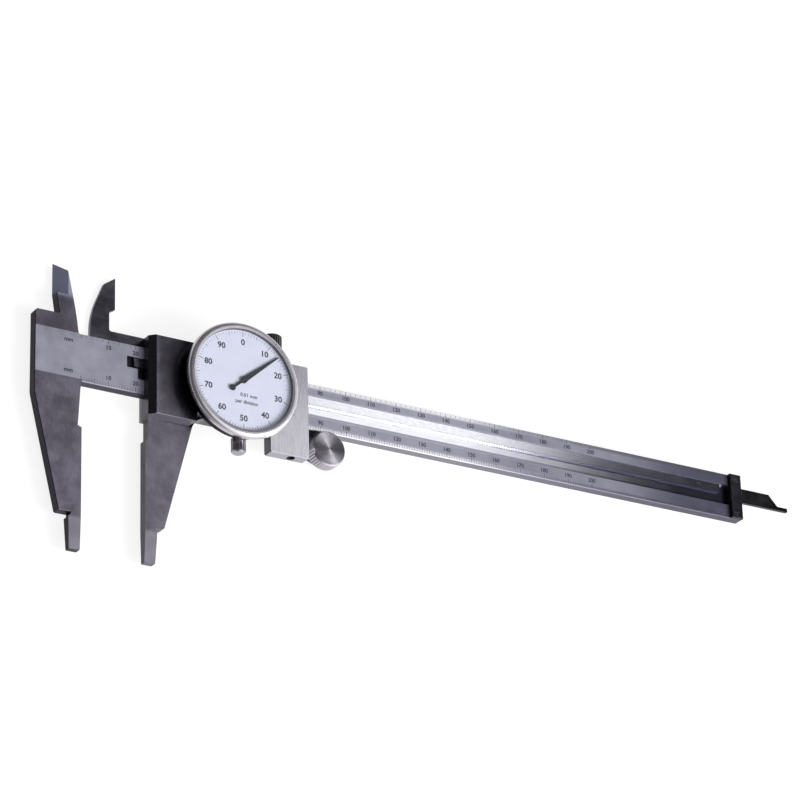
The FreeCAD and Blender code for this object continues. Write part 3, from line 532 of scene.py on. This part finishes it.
# Looks of the plainer metals, and which nodes take each finish
groundLooks = {
    "plate steel": {"light": (0.20, 0.19, 0.22), "dark": (0.13, 0.125, 0.15), "roughness": (0.26, 0.42),
                    "grainScale": (120, 3800, 3800), "patchScale": 140.0, "grainDepth": 0.35},
    "rod steel": {"light": (0.05, 0.048, 0.055), "dark": (0.03, 0.029, 0.033), "roughness": (0.28, 0.42),
                  "grainScale": (90, 5200, 5200), "patchScale": 180.0, "grainDepth": 0.35},
    "stop steel": {"light": (0.050, 0.048, 0.060), "dark": (0.032, 0.031, 0.039), "roughness": (0.36, 0.48),
                   "grainScale": (2400, 300, 2400), "patchScale": 260.0, "grainDepth": 0.3},
    "rack steel": {"light": (0.87, 0.873, 0.915), "dark": (0.80, 0.803, 0.855), "roughness": (0.20, 0.26),
                   "grainScale": (700, 900, 700), "patchScale": 260.0, "grainDepth": 0.2,
                   # painted dark reflection on the rack towards the far end and left of the slider
                   "darkReflection": ((88.0, 160.0), (0.0, -30.0)), "darkReflectionTone": (0.072, 0.070, 0.112),
                   # painted shade on the rack's wall facing the lower edge
                   "wallShadeTone": (0.035, 0.034, 0.040), "wallFade": (85.0, 135.0), "glance": 0.35},
    # the spacer's dark grey is painted shade on its inner wall beside the dial
    "spacer shade grey": {"light": (0.20, 0.19, 0.22), "dark": (0.15, 0.145, 0.17), "roughness": (0.40, 0.52),
                       "grainScale": (1500, 1500, 300), "patchScale": 280.0, "grainDepth": 0.2, "metal": 0.5},
    "black steel and case shade": {"light": (0.020, 0.019, 0.022), "dark": (0.012, 0.011, 0.013), "roughness": (0.30, 0.44),
                    "grainScale": (1500, 1500, 300), "patchScale": 280.0, "grainDepth": 0.25},
    "brass": {"light": (0.78, 0.60, 0.30), "dark": (0.68, 0.50, 0.24), "roughness": (0.22, 0.36),
              "grainScale": (900, 1400, 900), "patchScale": 260.0, "grainDepth": 0.25},
    "gear steel": {"light": (0.50, 0.49, 0.50), "dark": (0.40, 0.39, 0.41), "roughness": (0.22, 0.34),
                   "grainScale": (1200, 1200, 300), "patchScale": 300.0, "grainDepth": 0.25},
}
turnedLooks = {
    "dark screw steel": {"light": (0.10, 0.095, 0.11), "dark": (0.06, 0.057, 0.066), "roughness": (0.30, 0.42),
                         "ringScale": 3800.0, "patchScale": 300.0, "ringDepth": 0.25},
    "screw steel": {"light": (0.62, 0.61, 0.62), "dark": (0.50, 0.49, 0.50), "roughness": (0.16, 0.28),
                    "ringScale": 3800.0, "patchScale": 300.0, "ringDepth": 0.25},
    "bezel steel": {"light": (0.60, 0.58, 0.62), "dark": (0.54, 0.52, 0.56), "roughness": (0.26, 0.32),
                    "ringScale": 2600.0, "patchScale": 120.0, "ringDepth": 0.12, "metal": 0.8, "bump": 0.04},
    "roller steel": {"light": (0.49, 0.47, 0.515), "dark": (0.42, 0.40, 0.445), "roughness": (0.20, 0.23),
                     "ringScale": 3200.0, "patchScale": 220.0, "ringDepth": 0.2, "anisotropy": 0.9,
                     "lean": (0.05, -0.15), "bump": 0.005},
    "lock steel": {"light": (0.16, 0.145, 0.15), "dark": (0.11, 0.10, 0.105), "roughness": (0.30, 0.42),
                   "ringScale": 3200.0, "patchScale": 260.0, "ringDepth": 0.3},
    "knob steel": {"light": (0.48, 0.465, 0.50), "dark": (0.36, 0.345, 0.38), "roughness": (0.22, 0.34),
                   "ringScale": 3200.0, "patchScale": 260.0, "ringDepth": 0.3},
}
turnedCentres = {                        # the small screws' rings are too fine to show their centre
    "bezel steel": (dialCentre.x, dialCentre.y, 0),
    "roller steel": rollerCentre,
}
wear = {
    "beam steel": ["beam_and_fixed_jaws"],
    "slider steel": ["slider_frame"],
    "rack steel": ["rack"],
    "plate steel": ["back_plate"],
    "rod steel": ["depth_rod"],
    "stop steel": ["end_stop"],
    # the dial case's black is painted shade on its wall; the gib screws are black steel
    "black steel and case shade": ["dial_case", "gib_screws"],
    "brass": ["gib_strip", "movement_plate", "bridge_pillars", "bridge_plate", "arbor_bush", "main_gear",
              "anti_backlash_gear"],
    "gear steel": ["rack_pinion", "centre_pinion", "backlash_spring"],
    "screw steel": ["back_plate_screws", "depth_rod_screws", "case_screws", "bridge_screws", "roller_axle"],
    "dark screw steel": ["rack_screws", "end_stop_screws"],
    "lock steel": ["lock_screw"],
    "knob steel": ["bezel_clamp_screw"],
    "bezel steel": ["bezel_ring"],
    "roller steel": ["thumb_roller"],
    "dial lacquer": ["dial_face"],
    "spacer shade grey": ["spacer_ring"],
    "pointer lacquer": ["pointer"],
    "watch glass": ["crystal"],
}


def dressNodes():
    finishes = {"beam steel": beamSteel(), "slider steel": sliderSteel(), "dial lacquer": dialLacquer(),
                "pointer lacquer": pointerLacquer(), "watch glass": watchGlass()}
    for name, look in groundLooks.items():
        finishes[name] = groundMetal(name, look)
    for name, look in turnedLooks.items():
        finishes[name] = turnedMetal(name, look, turnedCentres.get(name, (0, 0, 0)))
    for finish, names in wear.items():
        for name in names:
            for slot in nodes[name].material_slots:
                slot.material = finishes[finish]


dressNodes()
print("materials on the nodes")


# Helpers for new pieces
def finishPiece(name, bm, material, body):
    mesh = bpy.data.meshes.new(name)
    bm.to_mesh(mesh)
    bm.free()
    mesh.materials.append(material)
    piece = bpy.data.objects.new(name, mesh)
    bpy.context.collection.objects.link(piece)
    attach(piece, body)


def addBar(bm, centre, size, turn=0.0, about=(0, 0, 0)):
    place = Matrix.Translation(Vector(about)) @ Matrix.Rotation(turn, 4, "Z")
    place = place @ Matrix.Translation(Vector(centre)) @ Matrix.Diagonal((*size, 1.0))
    bmesh.ops.create_cube(bm, size=1.0, matrix=place)


wordMeshes = {}                          # each word is made once and copied


def wordMesh(text, height, thickness, bold):
    key = (text, height, bold)
    if key not in wordMeshes:
        curve = bpy.data.curves.new("word", "FONT")
        curve.body = text
        curve.size = height * 1.4
        curve.align_x = "CENTER"
        curve.align_y = "CENTER"
        curve.resolution_u = 3
        curve.extrude = thickness / 2
        curve.offset = bold
        holder = bpy.data.objects.new("word", curve)
        wordMeshes[key] = bpy.data.meshes.new_from_object(holder)
        bpy.data.objects.remove(holder)
    return wordMeshes[key]


def addWord(bm, text, height, place, thickness, bold):
    mesh = wordMesh(text, height, thickness, bold).copy()
    mesh.transform(place)
    bm.from_mesh(mesh)
    bpy.data.meshes.remove(mesh)


# Measures of a division: those of the coarsest unit that it is a multiple of
def tickSize(step, ticks):
    return next(size for unit, size in ticks.items() if step % unit == 0)


# Dial: a hundred divisions, a number at each ten
dialPrint = {
    "divisions": 100,
    "outer": 17.7 * mm,
    "ticks": {10: (15.9 * mm, 0.2 * mm),     # inner end and width
              5: (16.3 * mm, 0.15 * mm),
              1: (16.7 * mm, 0.09 * mm)},
    "numberStep": 10,
    "numberRadius": 13.8 * mm,
    "numberHeight": 2.1 * mm,
    "numberBold": 0.09 * mm,
    "words": (("0.01 mm", 2.0 * mm, -5.3 * mm),             # with their places from the centre
              ("per division", 1.2 * mm, -7.8 * mm)),
    "wordHeight": 1.3 * mm,
    "wordBold": 0.04 * mm,
    "depth": 0.012 * mm,
    "ink": (0.035, 0.035, 0.045),
    "inkRoughness": (0.47, 0.63),
}


def printDial():
    look = dialPrint
    bm = bmesh.new()
    middle = Vector((dialCentre.x, dialCentre.y, dialCentre.z + look["depth"] / 2))
    for step in range(look["divisions"]):
        inner, width = tickSize(step, look["ticks"])
        turn = -step / look["divisions"] * 2 * math.pi
        addBar(bm, (0, (look["outer"] + inner) / 2, 0), (width, look["outer"] - inner, look["depth"]),
               turn, middle)
    for number in range(0, look["divisions"], look["numberStep"]):
        angle = math.radians(90 - number * 360 / look["divisions"])
        spot = middle + Vector((math.cos(angle), math.sin(angle), 0)) * look["numberRadius"]
        addWord(bm, str(number), look["numberHeight"], Matrix.Translation(spot), look["depth"],
                look["numberBold"])
    for text, x, y in look["words"]:
        addWord(bm, text, look["wordHeight"], Matrix.Translation(middle + Vector((x, y, 0))), look["depth"],
                look["wordBold"])
    finishPiece("dial_print", bm, printInk("dial ink", look), "bezel")


printDial()
print("dial printed")


# Beam scales: a millimetre scale along the lower rail, a coarser one along the upper rail
scalePrint = {
    "length": 200,
    "zeroShift": -0.5 * mm,
    "lowEdge": -8.2 * mm,
    "highEdge": 8.2 * mm,
    "highShare": 0.8,                    # length of the upper divisions, of the lower ones
    "ticks": {10: (1.7 * mm, 0.16 * mm),     # length and width
              5: (1.35 * mm, 0.13 * mm),
              1: (1.0 * mm, 0.11 * mm)},
    "numberStep": 10,
    "numberRows": (-5.3 * mm, 5.6 * mm),
    "numberHeight": 1.5 * mm,
    "numberBold": 0.06 * mm,
    "unitShift": -4.5 * mm,              # the unit's word, from the scales' zero
    "depth": 0.012 * mm,
    "ink": (0.03, 0.03, 0.035),
    "inkRoughness": (0.42, 0.58),
}


def cutScales():
    look = scalePrint
    bm = bmesh.new()
    zero = fixedFace + look["zeroShift"]
    level = beamFront + look["depth"] / 2
    for step in range(look["length"] + 1):
        reach, width = tickSize(step, look["ticks"])
        x = zero + step * mm
        addBar(bm, (x, look["lowEdge"] + reach / 2, level), (width, reach, look["depth"]))
        if step % 2 == 0:
            reach *= look["highShare"]
            addBar(bm, (x, look["highEdge"] - reach / 2, level), (width, reach, look["depth"]))
    words = [(str(step), zero + step * mm)
             for step in range(look["numberStep"], look["length"] + 1, look["numberStep"])]
    for text, x in words + [("mm", zero + look["unitShift"])]:
        for y in look["numberRows"]:
            addWord(bm, text, look["numberHeight"], Matrix.Translation((x, y, level)), look["depth"],
                    look["numberBold"])
    finishPiece("beam_scales", bm, printInk("scale ink", look), "beam")


cutScales()
print("beam scales cut")


# Stage: pale floor that keeps a soft shadow, a dome lit from the right with a dark card, two softboxes
studio = {
    "floorTone": (0.84, 0.84, 0.84),
    "floorSeen": (0.22, 0.22, 0.22),     # with the glow this shows white, and its shadow pale
    "floorGlow": 0.84,
    "floorSize": 6.0,
    "floorLevel": -0.02 * mm,
    "dome": (1.75, 1.75, 1.79),
    "domeDark": (0.09, 0.088, 0.10),
    "lightFrom": (0.90, -0.10, 0.40),
    "lightEdge": (0.0, 0.6),
    "card": (0.05, 0.048, 0.06),
    "cardTo": (0.46, 0.54, 0.70),
    "cardEdge": (0.76, 0.87),
}
softboxes = {
    "side softbox": {"place": (0.2845, 0.18, 0.35), "aim": (0.0825, 0.0, 0.0), "size": (0.123, 0.28),
                     "power": 0.138},
    "key softbox": {"place": (1.12, -0.57, 0.884), "aim": (0.05, 0.0, 0.0), "size": (0.7, 0.7), "power": 19.0},
}


def floorMaterial():
    material, tree, shader = newMaterial("floor")
    output = tree.nodes["Material Output"]
    shader.inputs["Roughness"].default_value = 1.0
    shader.inputs["Specular IOR Level"].default_value = 0.0
    glow = tree.nodes.new("ShaderNodeEmission")
    glow.inputs["Color"].default_value = (1, 1, 1, 1)
    rays = tree.nodes.new("ShaderNodeLightPath")
    seen = calculate(tree, "ADD", rays.outputs["Is Camera Ray"], rays.outputs["Is Glossy Ray"])
    seen = calculate(tree, "ADD", seen, rays.outputs["Is Transmission Ray"])
    tree.links.new(times(tree, seen, studio["floorGlow"]), glow.inputs["Strength"])
    tree.links.new(mixColour(tree, seen, studio["floorTone"], studio["floorSeen"]), shader.inputs["Base Color"])
    both = tree.nodes.new("ShaderNodeAddShader")
    tree.links.new(shader.outputs["BSDF"], both.inputs[0])
    tree.links.new(glow.outputs["Emission"], both.inputs[1])
    tree.links.new(both.outputs["Shader"], output.inputs["Surface"])
    return material


def layFloor():
    bm = bmesh.new()
    bmesh.ops.create_grid(bm, x_segments=1, y_segments=1, size=studio["floorSize"],
                          matrix=Matrix.Translation((0, 0, studio["floorLevel"])))
    mesh = bpy.data.meshes.new("floor")
    bm.to_mesh(mesh)
    bm.free()
    mesh.materials.append(floorMaterial())
    floor = bpy.data.objects.new("floor", mesh)
    bpy.context.collection.objects.link(floor)


def hangLamp(name, look):
    data = bpy.data.lights.new(name, "AREA")
    data.shape = "RECTANGLE"
    data.size, data.size_y = look["size"]
    data.energy = look["power"]
    lamp = bpy.data.objects.new(name, data)
    place = Vector(look["place"])
    turn = (place - Vector(look["aim"])).to_track_quat("Z", "Y").to_matrix().to_4x4()
    lamp.matrix_world = Matrix.Translation(place) @ turn
    bpy.context.collection.objects.link(lamp)


def towards(tree, direction, aim, edge):
    node = tree.nodes.new("ShaderNodeVectorMath")
    node.operation = "DOT_PRODUCT"
    tree.links.new(direction, node.inputs[0])
    node.inputs[1].default_value = aim
    return ramp(tree, node.outputs["Value"], *edge)


def lightStudio():
    world = bpy.data.worlds.new("studio")
    bpy.context.scene.world = world
    world.use_nodes = True
    tree = world.node_tree
    tree.nodes.clear()
    background = tree.nodes.new("ShaderNodeBackground")
    output = tree.nodes.new("ShaderNodeOutputWorld")
    direction = tree.nodes.new("ShaderNodeTexCoord").outputs["Generated"]
    lit = mixColour(tree, towards(tree, direction, studio["lightFrom"], studio["lightEdge"]),
                    studio["domeDark"], studio["dome"])
    lit = mixColour(tree, towards(tree, direction, studio["cardTo"], studio["cardEdge"]), lit, studio["card"])
    tree.links.new(lit, background.inputs["Color"])
    tree.links.new(background.outputs["Background"], output.inputs["Surface"])
    for name, look in softboxes.items():
        hangLamp(name, look)


# Camera at the photo's viewing angle
view = {
    "place": (-0.5280, -0.4947, 0.9716),
    "right": (0.8576, -0.0274, 0.5135),
    "up": (-0.1873, 0.9134, 0.3615),
    "back": (-0.4789, -0.4062, 0.7782),
    "lens": 162.66,
    "clip": (0.05, 30.0),
}


def setCamera():
    data = bpy.data.cameras.new("camera")
    data.lens = view["lens"]
    data.sensor_width = 36.0
    data.clip_start, data.clip_end = view["clip"]
    camera = bpy.data.objects.new("camera", data)
    turn = Matrix((view["right"], view["up"], view["back"])).transposed().to_4x4()
    camera.matrix_world = Matrix.Translation(view["place"]) @ turn
    bpy.context.collection.objects.link(camera)
    bpy.context.scene.camera = camera


layFloor()
lightStudio()
setCamera()
bpy.context.scene.view_settings.view_transform = "Standard"
print("stage, lights and camera set")
